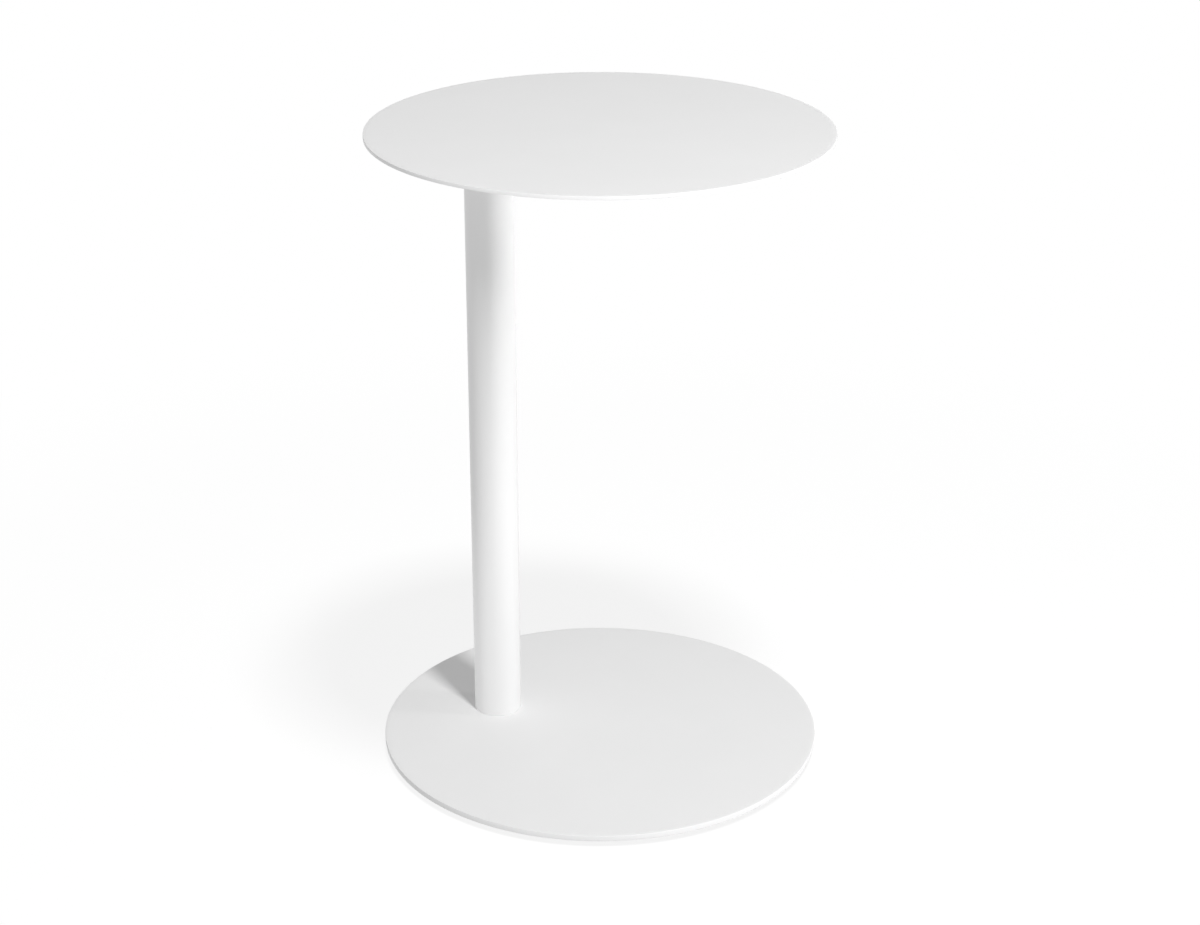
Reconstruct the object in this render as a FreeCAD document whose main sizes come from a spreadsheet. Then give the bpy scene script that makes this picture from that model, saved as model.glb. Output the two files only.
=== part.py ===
"""Round side table: a thin steel top and a thicker steel base of one diameter, joined by an off-centre tube.

Millimetres, +Z up. The origin is on the floor, under the centre of the base, and the post stands towards -X.
The tube carries a flange welded to its upper end, which is nutted to studs under the top. A plug welded into
its lower end takes the screws that come up through the base. The base stands on a ring of low glide pads.
"""

import FreeCAD
import Part
import Sketcher
import os

SHEET = "Sizes"

SIZES = {
    # whole table
    "table_height": 552.0,
    # top plate
    "top_diameter": 380.0,
    "top_thickness": 3.0,
    "top_edge_chamfer": 0.5,
    # base plate
    "base_diameter": 380.0,
    "base_thickness": 5.0,
    "base_edge_chamfer": 0.5,
    # post tube, and how far its axis stands from the middle of the table
    "post_diameter": 41.3,
    "post_wall": 2.1,
    "post_offset": 98.0,
    # flange on the upper end of the tube
    "flange_thickness": 4.0,
    "flange_margin": 16.5,
    "flange_weld_leg": 4.0,
    # studs under the top: wall of the tube to stud axis, and what stands out past the nut
    "stud_count": 3,
    "stud_spacing": 27.5,
    "stud_diameter": 6.0,
    "stud_protrusion": 2.0,
    "stud_collar_diameter": 7.5,
    "stud_collar_height": 1.0,
    "stud_hole_clearance": 0.4,
    # flange nuts
    "nut_width": 10.0,
    "nut_height": 6.0,
    "nut_skirt": 1.3,
    "nut_skirt_edge": 1.1,
    "nut_skirt_rise": 0.6,
    # plug in the lower end of the tube
    "plug_length": 12.0,
    "plug_clearance": 0.1,
    # beads under the plug, one between each screw and the next
    "plug_weld_angle": 60.0,
    "plug_weld_leg": 2.0,
    "plug_weld_relief": 0.5,
    # countersunk screws through the base
    "screw_count": 3,
    "screw_land": 5.0,
    "screw_diameter": 6.0,
    "screw_length": 16.0,
    "screw_head_diameter": 12.0,
    "screw_head_edge": 0.4,
    "screw_head_sink": 0.2,
    "screw_hole_clearance": 0.3,
    "socket_width": 4.0,
    "socket_depth": 2.2,
    # glide pads under the base, and the adhesive discs that hold them
    "glide_count": 6,
    "glide_inset": 24.0,
    "glide_diameter": 22.0,
    "glide_height": 4.2,
    "glide_edge_chamfer": 1.0,
    "tape_margin": 1.0,
    "tape_thickness": 0.8,
    # play between threads, and between a screw head and its seat
    "thread_clearance": 0.05,
    "seat_clearance": 0.02,
}

# A broken rim takes at most this share of the plate or pad that it is on.
EDGE_LIMIT_SHARE = 0.4
# A countersunk head's cone has 90 degrees between its sides.
COUNTERSINK_ANGLE = 90.0
FULL_TURN = 360.0
HEXAGON_SIDES = 6
UP = FreeCAD.Vector(0, 0, 1)
# How closely an edge has to match the circle that it is looked up by.
TOLERANCE = 1e-4

# How a sketch numbers its own axes and root point, and the points of a curve.
X_AXIS_INDEX = -1
Y_AXIS_INDEX = -2
START_INDEX = 1
END_INDEX = 2
CENTRE_INDEX = 3
ROOT = (X_AXIS_INDEX, START_INDEX)


def cell(alias):
    """The expression that reads one named size from the sheet."""
    return f"{SHEET}.{alias}"


def limited(chamfer, wall):
    """A named chamfer, held to a share of the wall that it breaks."""
    return f"min({cell(chamfer)}; {EDGE_LIMIT_SHARE} * {cell(wall)})"


# Heights above the floor
BASE_UNDERSIDE = f"({cell('glide_height')} + {cell('tape_thickness')})"
BASE_TOP = f"({BASE_UNDERSIDE} + {cell('base_thickness')})"
TOP_UNDERSIDE = f"({cell('table_height')} - {cell('top_thickness')})"
FLANGE_UNDERSIDE = f"({TOP_UNDERSIDE} - {cell('flange_thickness')})"
PLUG_UNDERSIDE = f"({BASE_TOP} + {cell('plug_weld_leg')} + {cell('plug_weld_relief')})"

# Radii about the post's axis
POST_X = f"(-{cell('post_offset')})"
POST_RADIUS = f"({cell('post_diameter')} / 2)"
POST_BORE_RADIUS = f"({POST_RADIUS} - {cell('post_wall')})"
PLUG_RADIUS = f"({POST_BORE_RADIUS} - {cell('plug_clearance')})"
STUD_REACH = f"({POST_RADIUS} + {cell('stud_spacing')})"
FLANGE_RADIUS = f"({STUD_REACH} + {cell('flange_margin')})"

# The countersink lets the head sit below the face, and a land of full plate parts one sink from the next.
SINK_DEPTH = f"({cell('screw_head_sink')} + {cell('screw_head_edge')} + {cell('seat_clearance')})"
SINK_DIAMETER = f"({cell('screw_head_diameter')} + 2 * {SINK_DEPTH})"
SCREW_REACH = f"(({SINK_DIAMETER} + {cell('screw_land')}) / (2 * sin(180 / {cell('screw_count')})))"

# Thread sizes, shared by what screws together
STUD_LENGTH = f"({cell('flange_thickness')} + {cell('nut_height')} + {cell('stud_protrusion')})"
NUT_BORE_RADIUS = f"({cell('stud_diameter')} / 2 + {cell('thread_clearance')})"
NUT_CORNER_RADIUS = f"({cell('nut_width')} / sqrt(3))"
NUT_SKIRT_HEIGHT = f"({cell('nut_skirt_edge')} + {cell('nut_skirt_rise')})"

# Glide pads stand on a circle set in from the rim of the base.
GLIDE_REACH = f"({cell('base_diameter')} / 2 - {cell('glide_inset')})"


def make_sheet(doc):
    """Writes every driving size to the sheet, one aliased cell each."""
    sheet = doc.addObject("Spreadsheet::Sheet", SHEET)
    for row, (alias, value) in enumerate(SIZES.items(), start=1):
        sheet.set(f"A{row}", alias)
        sheet.set(f"B{row}", str(value))
        sheet.setAlias(f"B{row}", alias)
    doc.recompute()


def make_body(doc, label, x="0", z="0"):
    """A body named for its piece, placed by two expressions."""
    body = doc.addObject("PartDesign::Body", label)
    body.Label = label
    body.setExpression("Placement.Base.x", x)
    body.setExpression("Placement.Base.z", z)
    return body


def turn_half_step(body, count):
    """Turns a body so that its ring of copies straddles the X axis."""
    body.setExpression("Placement.Rotation.Angle", f"180 / {cell(count)}")


def origin_feature(body, role):
    """The body's own origin plane or axis of that role."""
    return next(feature for feature in body.Origin.OriginFeatures if feature.Role == role)


def make_sketch(body, name, plane="XY_Plane", **offset):
    """A sketch on one of the body's origin planes, shifted in its own axes by expressions."""
    sketch = body.newObject("Sketcher::SketchObject", name)
    sketch.AttachmentSupport = [(origin_feature(body, plane), "")]
    sketch.MapMode = "FlatFace"
    for axis, expression in offset.items():
        sketch.setExpression(f"AttachmentOffset.Base.{axis}", expression)
    return sketch


def dimension(sketch, kind, *where, size):
    """Adds one driving dimension and binds it to an expression."""
    index = sketch.addConstraint(Sketcher.Constraint(kind, *where, float(sketch.evalExpression(size))))
    sketch.setExpression(f"Constraints[{index}]", size)


def place_point(sketch, curve, end, x, y):
    """Fixes one point of a curve by its two coordinates, or on an axis where a coordinate is zero."""
    for kind, axis, size in (("DistanceX", Y_AXIS_INDEX, x), ("DistanceY", X_AXIS_INDEX, y)):
        if size == "0":
            sketch.addConstraint(Sketcher.Constraint("PointOnObject", curve, end, axis))
        else:
            dimension(sketch, kind, *ROOT, curve, end, size=size)


def draw_profile(sketch, points):
    """A closed outline of straight lines through points given as pairs of expressions."""
    spots = [FreeCAD.Vector(*(float(sketch.evalExpression(size)) for size in point), 0) for point in points]
    lines = [
        sketch.addGeometry(Part.LineSegment(start, end))
        for start, end in zip(spots, spots[1:] + spots[:1])
    ]
    for line, following in zip(lines, lines[1:] + lines[:1]):
        sketch.addConstraint(Sketcher.Constraint("Coincident", line, END_INDEX, following, START_INDEX))
    for line, point in zip(lines, points):
        place_point(sketch, line, START_INDEX, *point)


def draw_circle(sketch, radius, reach="0"):
    """A circle on the sketch's X axis, at a reach from its origin."""
    centre = FreeCAD.Vector(float(sketch.evalExpression(reach)), 0, 0)
    size = float(sketch.evalExpression(radius))
    circle = sketch.addGeometry(Part.Circle(centre, UP, size))
    place_point(sketch, circle, CENTRE_INDEX, reach, "0")
    dimension(sketch, "Radius", circle, size=radius)
    return circle


def draw_hexagon(sketch, corner_radius):
    """A regular hexagon about the sketch's own origin, with a corner on its X axis."""
    guide = draw_circle(sketch, corner_radius)
    sketch.toggleConstruction(guide)
    reach = FreeCAD.Vector(float(sketch.evalExpression(corner_radius)), 0, 0)
    turns = [FreeCAD.Rotation(UP, FULL_TURN * step / HEXAGON_SIDES) for step in range(HEXAGON_SIDES)]
    corners = [turn.multVec(reach) for turn in turns]
    sides = [
        sketch.addGeometry(Part.LineSegment(start, end))
        for start, end in zip(corners, corners[1:] + corners[:1])
    ]
    for side, following in zip(sides, sides[1:] + sides[:1]):
        sketch.addConstraint(Sketcher.Constraint("Coincident", side, END_INDEX, following, START_INDEX))
        sketch.addConstraint(Sketcher.Constraint("PointOnObject", side, START_INDEX, guide))
    for side in sides[1:]:
        sketch.addConstraint(Sketcher.Constraint("Equal", sides[0], side))
    sketch.addConstraint(Sketcher.Constraint("PointOnObject", sides[0], START_INDEX, X_AXIS_INDEX))


def pad(body, sketch, length):
    """Raises a sketch along its normal."""
    feature = body.newObject("PartDesign::Pad", f"{body.Label}_pad")
    feature.Profile = sketch
    feature.setExpression("Length", length)
    return feature


def pocket(body, sketch, depth):
    """Cuts a sketch upwards into the body by a depth."""
    feature = body.newObject("PartDesign::Pocket", f"{body.Label}_pocket")
    feature.Profile = sketch
    feature.Reversed = True
    feature.setExpression("Length", depth)
    return feature


def revolve(body, sketch, angle=None):
    """Turns a sketch round its own vertical axis, fully or over an angle with the sketch in its middle."""
    feature = body.newObject("PartDesign::Revolution", f"{body.Label}_turned")
    feature.Profile = sketch
    feature.ReferenceAxis = (sketch, ["V_Axis"])
    if angle is None:
        feature.Angle = FULL_TURN
    else:
        feature.Midplane = True
        feature.setExpression("Angle", angle)
    return feature


def repeat(body, feature, sketch, count):
    """Spaces copies of one feature evenly round the axis that stands on a sketch's origin."""
    pattern = body.newObject("PartDesign::PolarPattern", f"{feature.Name}_ring")
    pattern.Originals = [feature]
    pattern.Axis = (sketch, ["N_Axis"])
    pattern.Angle = FULL_TURN
    pattern.setExpression("Occurrences", cell(count))
    body.Tip = pattern
    return pattern


def repeat_body(body, count):
    """Spaces copies of everything in the body evenly round the body's vertical axis."""
    body.Document.recompute()
    pattern = body.newObject("PartDesign::PolarPattern", f"{body.Label}_ring")
    pattern.TransformMode = "Whole shape"
    pattern.Axis = (origin_feature(body, "Z_Axis"), [""])
    pattern.Angle = FULL_TURN
    pattern.setExpression("Occurrences", cell(count))
    body.Tip = pattern


def break_rim(body, feature, rim, level, size):
    """Chamfers the full circle of radius rim that a feature has at one level in its body."""
    body.Document.recompute()
    radius = float(body.evalExpression(rim))
    height = float(body.evalExpression(level))
    names = []
    for number, edge in enumerate(feature.Shape.Edges, start=1):
        circle = edge.Curve
        if not isinstance(circle, Part.Circle):
            continue
        if abs(circle.Radius - radius) < TOLERANCE and abs(circle.Center.z - height) < TOLERANCE:
            names.append(f"Edge{number}")
    edges = body.newObject("PartDesign::Chamfer", f"{body.Label}_rim")
    edges.Base = (feature, names)
    edges.setExpression("Size", size)


def make_top_plate(doc):
    """Thin round top with its upper rim broken."""
    body = make_body(doc, "top_plate", z=TOP_UNDERSIDE)
    outline = make_sketch(body, "top_outline")
    draw_circle(outline, f"{cell('top_diameter')} / 2")
    plate = pad(body, outline, cell("top_thickness"))
    chamfer = limited("top_edge_chamfer", "top_thickness")
    break_rim(body, plate, f"{cell('top_diameter')} / 2", cell("top_thickness"), chamfer)
    return body


def make_base_plate(doc):
    """Round base with its upper rim broken, countersunk from below for the screws into the post."""
    body = make_body(doc, "base_plate", z=BASE_UNDERSIDE)
    outline = make_sketch(body, "base_outline")
    draw_circle(outline, f"{cell('base_diameter')} / 2")
    pad(body, outline, cell("base_thickness"))
    place = make_sketch(body, "screw_hole", x=POST_X)
    hole_radius = f"({cell('screw_diameter')} / 2 + {cell('screw_hole_clearance')})"
    draw_circle(place, hole_radius, reach=SCREW_REACH)
    doc.recompute()
    hole = body.newObject("PartDesign::Hole", "screw_hole_cut")
    hole.Profile = place
    hole.ThreadType = "None"
    hole.DepthType = "ThroughAll"
    hole.Reversed = True
    hole.HoleCutType = "Countersink"
    hole.HoleCutCustomValues = True
    hole.HoleCutCountersinkAngle = COUNTERSINK_ANGLE
    hole.setExpression("Diameter", f"2 * {hole_radius}")
    hole.setExpression("HoleCutDiameter", SINK_DIAMETER)
    holes = repeat(body, hole, place, "screw_count")
    chamfer = limited("base_edge_chamfer", "base_thickness")
    break_rim(body, holes, f"{cell('base_diameter')} / 2", cell("base_thickness"), chamfer)
    return body


def make_post_tube(doc):
    """Plain round tube from the base to the flange."""
    body = make_body(doc, "post_tube", x=POST_X, z=BASE_TOP)
    section = make_sketch(body, "tube_section")
    draw_circle(section, POST_RADIUS)
    draw_circle(section, POST_BORE_RADIUS)
    pad(body, section, f"{FLANGE_UNDERSIDE} - {BASE_TOP}")
    return body


def make_mounting_flange(doc):
    """Round plate on the upper end of the tube, drilled to pass the studs and their collars."""
    body = make_body(doc, "mounting_flange", x=POST_X, z=FLANGE_UNDERSIDE)
    outline = make_sketch(body, "flange_outline")
    draw_circle(outline, FLANGE_RADIUS)
    pad(body, outline, cell("flange_thickness"))
    place = make_sketch(body, "stud_hole")
    hole_radius = f"{cell('stud_collar_diameter')} / 2 + {cell('stud_hole_clearance')}"
    draw_circle(place, hole_radius, reach=STUD_REACH)
    hole = pocket(body, place, cell("flange_thickness"))
    repeat(body, hole, place, "stud_count")
    return body


def make_flange_weld(doc):
    """Fillet bead round the outside of the tube, under the flange."""
    body = make_body(doc, "flange_weld", x=POST_X, z=FLANGE_UNDERSIDE)
    bead = make_sketch(body, "flange_bead", plane="XZ_Plane")
    leg = cell("flange_weld_leg")
    draw_profile(bead, [(POST_RADIUS, "0"), (f"{POST_RADIUS} + {leg}", "0"), (POST_RADIUS, f"-{leg}")])
    revolve(body, bead)
    return body


def make_top_weld_studs(doc):
    """Threaded studs with a collar at the welded end, in a ring round the post."""
    body = make_body(doc, "top_weld_studs", x=POST_X, z=TOP_UNDERSIDE)
    stud = make_sketch(body, "stud_profile", plane="XZ_Plane", x=STUD_REACH)
    collar_radius = f"{cell('stud_collar_diameter')} / 2"
    collar_end = f"-{cell('stud_collar_height')}"
    radius = f"{cell('stud_diameter')} / 2"
    draw_profile(
        stud,
        [
            ("0", "0"),
            (collar_radius, "0"),
            (collar_radius, collar_end),
            (radius, collar_end),
            (radius, f"-{STUD_LENGTH}"),
            ("0", f"-{STUD_LENGTH}"),
        ],
    )
    revolve(body, stud)
    repeat_body(body, "stud_count")
    return body


def make_flange_nuts(doc):
    """Hexagon nuts with a skirt that spreads their load on the flange."""
    body = make_body(doc, "flange_nuts", x=POST_X, z=FLANGE_UNDERSIDE)
    height = cell("nut_height")
    section = make_sketch(body, "nut_section", x=STUD_REACH, z=f"-{height}")
    draw_hexagon(section, NUT_CORNER_RADIUS)
    draw_circle(section, NUT_BORE_RADIUS)
    pad(body, section, height)
    skirt = make_sketch(body, "nut_skirt_profile", plane="XZ_Plane", x=STUD_REACH)
    skirt_radius = f"({NUT_CORNER_RADIUS} + {cell('nut_skirt')})"
    draw_profile(
        skirt,
        [
            (NUT_BORE_RADIUS, "0"),
            (skirt_radius, "0"),
            (skirt_radius, f"-{cell('nut_skirt_edge')}"),
            (NUT_CORNER_RADIUS, f"-{NUT_SKIRT_HEIGHT}"),
            (NUT_BORE_RADIUS, f"-{NUT_SKIRT_HEIGHT}"),
        ],
    )
    revolve(body, skirt)
    repeat_body(body, "stud_count")
    return body


def make_base_plug(doc):
    """Thick plug set up inside the lower end of the tube, tapped for the base screws."""
    body = make_body(doc, "base_plug", x=POST_X, z=PLUG_UNDERSIDE)
    outline = make_sketch(body, "plug_outline")
    draw_circle(outline, PLUG_RADIUS)
    pad(body, outline, cell("plug_length"))
    place = make_sketch(body, "tapped_hole")
    draw_circle(place, f"{cell('screw_diameter')} / 2 + {cell('thread_clearance')}", reach=SCREW_REACH)
    hole = pocket(body, place, cell("plug_length"))
    repeat(body, hole, place, "screw_count")
    return body


def make_plug_welds(doc):
    """Short beads in the corner between the plug's underside and the inside of the tube."""
    body = make_body(doc, "plug_welds", x=POST_X, z=PLUG_UNDERSIDE)
    turn_half_step(body, "screw_count")
    bead = make_sketch(body, "plug_bead", plane="XZ_Plane")
    leg = cell("plug_weld_leg")
    draw_profile(
        bead, [(POST_BORE_RADIUS, "0"), (f"{POST_BORE_RADIUS} - {leg}", "0"), (POST_BORE_RADIUS, f"-{leg}")]
    )
    revolve(body, bead, cell("plug_weld_angle"))
    repeat_body(body, "screw_count")
    return body


def make_base_screws(doc):
    """Countersunk socket screws, heads down, in a ring round the post's axis."""
    body = make_body(doc, "base_screws", x=POST_X, z=f"{BASE_UNDERSIDE} + {cell('screw_head_sink')}")
    screw = make_sketch(body, "screw_profile", plane="XZ_Plane", x=SCREW_REACH)
    head_radius = f"{cell('screw_head_diameter')} / 2"
    radius = f"{cell('screw_diameter')} / 2"
    edge = cell("screw_head_edge")
    length = cell("screw_length")
    draw_profile(
        screw,
        [
            ("0", "0"),
            (head_radius, "0"),
            (head_radius, edge),
            (radius, f"{edge} + {head_radius} - {radius}"),
            (radius, length),
            ("0", length),
        ],
    )
    revolve(body, screw)
    socket = make_sketch(body, "screw_socket", x=SCREW_REACH)
    draw_hexagon(socket, f"{cell('socket_width')} / sqrt(3)")
    pocket(body, socket, cell("socket_depth"))
    repeat_body(body, "screw_count")
    return body


def make_glide_pads(doc):
    """Low round pads that the table stands on, with their lower rims chamfered."""
    body = make_body(doc, "glide_pads")
    turn_half_step(body, "glide_count")
    outline = make_sketch(body, "glide_outline", x=GLIDE_REACH)
    draw_circle(outline, f"{cell('glide_diameter')} / 2")
    disc = pad(body, outline, cell("glide_height"))
    chamfer = limited("glide_edge_chamfer", "glide_height")
    break_rim(body, disc, f"{cell('glide_diameter')} / 2", "0", chamfer)
    repeat_body(body, "glide_count")
    return body


def make_glide_tapes(doc):
    """Adhesive foam discs between the pads and the base."""
    body = make_body(doc, "glide_tapes", z=cell("glide_height"))
    turn_half_step(body, "glide_count")
    outline = make_sketch(body, "tape_outline", x=GLIDE_REACH)
    draw_circle(outline, f"{cell('glide_diameter')} / 2 - {cell('tape_margin')}")
    pad(body, outline, cell("tape_thickness"))
    repeat_body(body, "glide_count")
    return body


MAKERS = (
    make_top_plate,
    make_top_weld_studs,
    make_mounting_flange,
    make_flange_nuts,
    make_flange_weld,
    make_post_tube,
    make_base_plug,
    make_plug_welds,
    make_base_plate,
    make_base_screws,
    make_glide_pads,
    make_glide_tapes,
)


def check(doc, bodies):
    """Stops the build if any object failed, or a piece's shape is missing or not valid."""
    failed = [item.Name for item in doc.Objects if {"Invalid", "Error"} & set(item.State)]
    unsound = [body.Label for body in bodies if body.Shape.isNull() or not body.Shape.isValid()]
    if failed or unsound:
        raise RuntimeError(f"failed objects: {failed}; unsound shapes: {unsound}")


def main():
    """Builds the document, checks it and writes each piece to its own file."""
    doc = FreeCAD.newDocument("side_table")
    make_sheet(doc)
    bodies = [make(doc) for make in MAKERS]
    doc.recompute()
    check(doc, bodies)
    os.makedirs("parts", exist_ok=True)
    for body in bodies:
        body.Shape.exportStep(os.path.join("parts", f"{body.Label}.step"))
        print(f"{body.Label}: {len(body.Shape.Solids)} solids, {body.Shape.Volume:.1f} mm3")


main()
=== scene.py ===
"""Looks of a round side table in white powder-coated steel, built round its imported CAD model.

Metres, in the CAD frame: +Z up, the floor at zero, and the post towards -X from the middle of the table.
"""

import logging
import math
from abc import ABC, abstractmethod
from collections.abc import Iterable, Sequence
from dataclasses import dataclass, field
from enum import Enum
from typing import ClassVar

import bmesh
import bpy
from bmesh.types import BMEdge, BMesh, BMVert
from bpy.types import Collection, Material, Node, NodeSocket, NodeTree, Object
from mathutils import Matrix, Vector


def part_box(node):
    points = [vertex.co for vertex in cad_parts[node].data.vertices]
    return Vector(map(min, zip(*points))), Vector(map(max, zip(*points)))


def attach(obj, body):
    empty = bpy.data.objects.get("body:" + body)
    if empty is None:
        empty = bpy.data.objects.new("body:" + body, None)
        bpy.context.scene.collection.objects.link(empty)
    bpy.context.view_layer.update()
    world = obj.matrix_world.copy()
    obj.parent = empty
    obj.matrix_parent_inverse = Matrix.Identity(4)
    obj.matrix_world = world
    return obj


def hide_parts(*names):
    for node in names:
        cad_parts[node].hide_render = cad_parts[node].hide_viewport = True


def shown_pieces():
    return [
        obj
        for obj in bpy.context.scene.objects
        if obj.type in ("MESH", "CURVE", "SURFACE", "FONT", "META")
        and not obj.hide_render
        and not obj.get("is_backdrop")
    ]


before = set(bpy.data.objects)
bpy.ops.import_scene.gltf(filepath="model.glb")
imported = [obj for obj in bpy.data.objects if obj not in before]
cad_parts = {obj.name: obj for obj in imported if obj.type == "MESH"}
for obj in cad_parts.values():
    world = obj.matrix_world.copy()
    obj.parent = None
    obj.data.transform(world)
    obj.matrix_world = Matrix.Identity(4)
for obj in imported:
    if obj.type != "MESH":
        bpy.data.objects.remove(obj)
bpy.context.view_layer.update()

LOG = logging.getLogger("side_table")
MM = 0.001
BODY = "root"
# The piece that the studio's two cards light.
POST_PIECE = "post_tube_coated"
UP = Vector((0.0, 0.0, 1.0))
FULL_TURN = 2.0 * math.pi
# The heading that azimuths count from: the camera's and the lamps' are zero towards -Y.
FRONT = -math.pi / 2.0
HEXAGON_SIDES = 6
# From a hexagon's middle to its corner, as a share of its width across flats.
HEXAGON_REACH = 1.0 / math.sqrt(3.0)
# Faces that meet at less than this are shaded as one surface.
CREASE = math.radians(32.0)
# Points nearer to each other than this are one point.
SAME_POINT = 2.0e-6
# Points within this of a level or a radius lie on it.
ON_LEVEL = 2.0e-5
# How far apart the rings of a wave texture are at a scale of 1.
WAVE_PERIOD = FULL_TURN / 20.0
# The colour sockets of a Mix node, which share their names with its other kinds of socket.
MIX_A, MIX_B, MIX_RESULT = 6, 7, 2
WHITE = (1.0, 1.0, 1.0, 1.0)

Profile = Sequence[tuple[float, float]]


def linear(colour: str) -> tuple[float, float, float, float]:
    """Turns an sRGB hex colour to linear.

    Args:
        colour: The colour as #RRGGBB.

    Returns:
        Red, green and blue from 0 to 1, and an alpha of 1.
    """
    shares = [int(colour[start:start + 2], 16) / 255.0 for start in (1, 3, 5)]
    light = [s / 12.92 if s <= 0.04045 else ((s + 0.055) / 1.055) ** 2.4 for s in shares]
    return light[0], light[1], light[2], 1.0


def heading(angle: float) -> Vector:
    """The level unit vector at an angle from +X, in radians."""
    return Vector((math.cos(angle), math.sin(angle), 0.0))


def add_node(tree: NodeTree, kind: str, inputs: dict | None = None, **settings: object) -> Node:
    """Adds one node with its settings, its values and its links.

    Args:
        tree: The node tree that gets the node.
        kind: The node's type name.
        inputs: Values for its sockets, by name or number. A value that is a socket is linked instead.
        **settings: The node's own properties.

    Returns:
        The new node.
    """
    node = tree.nodes.new(kind)
    for name, value in settings.items():
        setattr(node, name, value)
    for name, value in (inputs or {}).items():
        if isinstance(value, NodeSocket):
            tree.links.new(value, node.inputs[name])
        else:
            node.inputs[name].default_value = value
    return node


def new_tree(name: str) -> tuple[Material, NodeTree, NodeSocket]:
    """Starts a material.

    Args:
        name: The material's name.

    Returns:
        The material, its node tree and, as all that the tree holds so far, the object's own coordinates.
    """
    material = bpy.data.materials.new(name)
    material.use_nodes = True
    tree = material.node_tree
    tree.nodes.clear()
    return material, tree, add_node(tree, "ShaderNodeTexCoord").outputs["Object"]


class Texture(Enum):
    """The textures that patterns are made of."""

    NOISE = "ShaderNodeTexNoise"
    CELLS = "ShaderNodeTexVoronoi"
    RINGS = "ShaderNodeTexWave"

    @property
    def unit(self) -> float:
        """The size of its features at a scale of 1."""
        return WAVE_PERIOD if self is Texture.RINGS else 1.0


@dataclass(frozen=True)
class Pattern:
    """A pattern in a finish.

    Attributes:
        size: How large its features are.
        inputs: Values for its texture's other sockets.
        texture: What it is made of.
        output: The texture's socket that gives it.
        settings: The texture's own properties.
    """

    size: float
    inputs: dict[str, float] = field(default_factory=dict)
    texture: Texture = Texture.NOISE
    output: str = "Fac"
    settings: dict[str, str] = field(default_factory=dict)


@dataclass(frozen=True)
class Finish:
    """What the finishes share: two near colours in patches, a roughness and a relief.

    Attributes:
        constants: What is the same all over, by the shader's sockets.
        name: The material's name.
        colour: The main colour.
        patch_colour: The colour of the patches.
        patches: The pattern of the patches.
        roughness: The least and the greatest roughness.
        dulling: The pattern of the roughness, or none where it is even.
        relief: The pattern of the relief.
        relief_height: How high the relief is.
        centre: A point on the axis that its rings go round, if it has any.
    """

    constants: ClassVar[dict[str, float]] = {}

    name: str
    colour: str
    patch_colour: str
    patches: Pattern
    roughness: tuple[float, float]
    dulling: Pattern | None
    relief: Pattern
    relief_height: float
    centre: Vector = field(default_factory=Vector)

    def material(self) -> Material:
        """Builds the node material.

        Returns:
            The material.
        """
        made, tree, place = new_tree(self.name)
        drawn = []
        for pattern in filter(None, (self.patches, self.relief, self.dulling)):
            spot = place
            if pattern.texture is Texture.RINGS:
                centred = add_node(tree, "ShaderNodeMapping", {"Vector": place, "Location": -self.centre})
                spot = centred.outputs["Vector"]
            inputs = {"Vector": spot, "Scale": pattern.texture.unit / pattern.size, **pattern.inputs}
            node = add_node(tree, pattern.texture.value, inputs, **pattern.settings)
            drawn.append(node.outputs[pattern.output])
        patches, height, *dulling = drawn
        colour = add_node(
            tree,
            "ShaderNodeMix",
            {0: patches, MIX_A: linear(self.colour), MIX_B: linear(self.patch_colour)},
            data_type="RGBA",
        )
        roughness, most = self.roughness
        if dulling:
            spread = {"Value": dulling[0], "To Min": roughness, "To Max": most}
            roughness = add_node(tree, "ShaderNodeMapRange", spread).outputs["Result"]
        bump = add_node(tree, "ShaderNodeBump", {"Height": height, "Distance": self.relief_height})
        shader = add_node(
            tree,
            "ShaderNodeBsdfPrincipled",
            {
                "Base Color": colour.outputs[MIX_RESULT],
                "Roughness": roughness,
                "Normal": bump.outputs["Normal"],
                **self.constants,
            },
        )
        add_node(tree, "ShaderNodeOutputMaterial", {"Surface": shader.outputs["BSDF"]})
        return made


@dataclass(frozen=True)
class PowderCoat(Finish):
    """White polyester powder, sprayed on steel and baked.

    The film flows out to an even satin white with a faint orange peel, so edges stay soft, light spreads wide
    on it and no grain shows from a step away.
    """

    constants = {"IOR": 1.5}

    name: str = "polyester_powder_coat_satin_white"
    colour: str = "#ECECEC"
    patch_colour: str = "#E9E9E9"
    patches: Pattern = Pattern(70.0 * MM, {"Detail": 2.0})
    roughness: tuple[float, float] = (0.36, 0.46)
    # Pinholes and grit are near 0.1 mm, drawn coarser so that they show.
    dulling: Pattern | None = Pattern(0.7 * MM, {"Detail": 1.0})
    # Orange peel: waves a few millimetres long and about ten micrometres high.
    relief: Pattern = Pattern(2.2 * MM, {"Detail": 1.0})
    relief_height: float = 0.012 * MM


@dataclass(frozen=True)
class ZincPlate(Finish):
    """Steel fasteners, electroplated with zinc and passivated clear.

    The plating is a cool pale grey metal with a soft shine, a faint warm and blue cast in patches and fine
    tumbling scratches.
    """

    constants = {"Metallic": 1.0}
    # Tumbling scratches are near 0.05 mm wide, drawn coarser so that they show.
    scratches: ClassVar[Pattern] = Pattern(0.35 * MM, {"Detail": 4.0, "Distortion": 1.5})

    name: str = "zinc_plated_steel_clear"
    colour: str = "#C7CACD"
    patch_colour: str = "#CFCBBE"
    patches: Pattern = Pattern(3.5 * MM, {"Detail": 3.0})
    roughness: tuple[float, float] = (0.24, 0.42)
    dulling: Pattern | None = scratches
    relief: Pattern = scratches
    relief_height: float = 0.003 * MM


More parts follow.
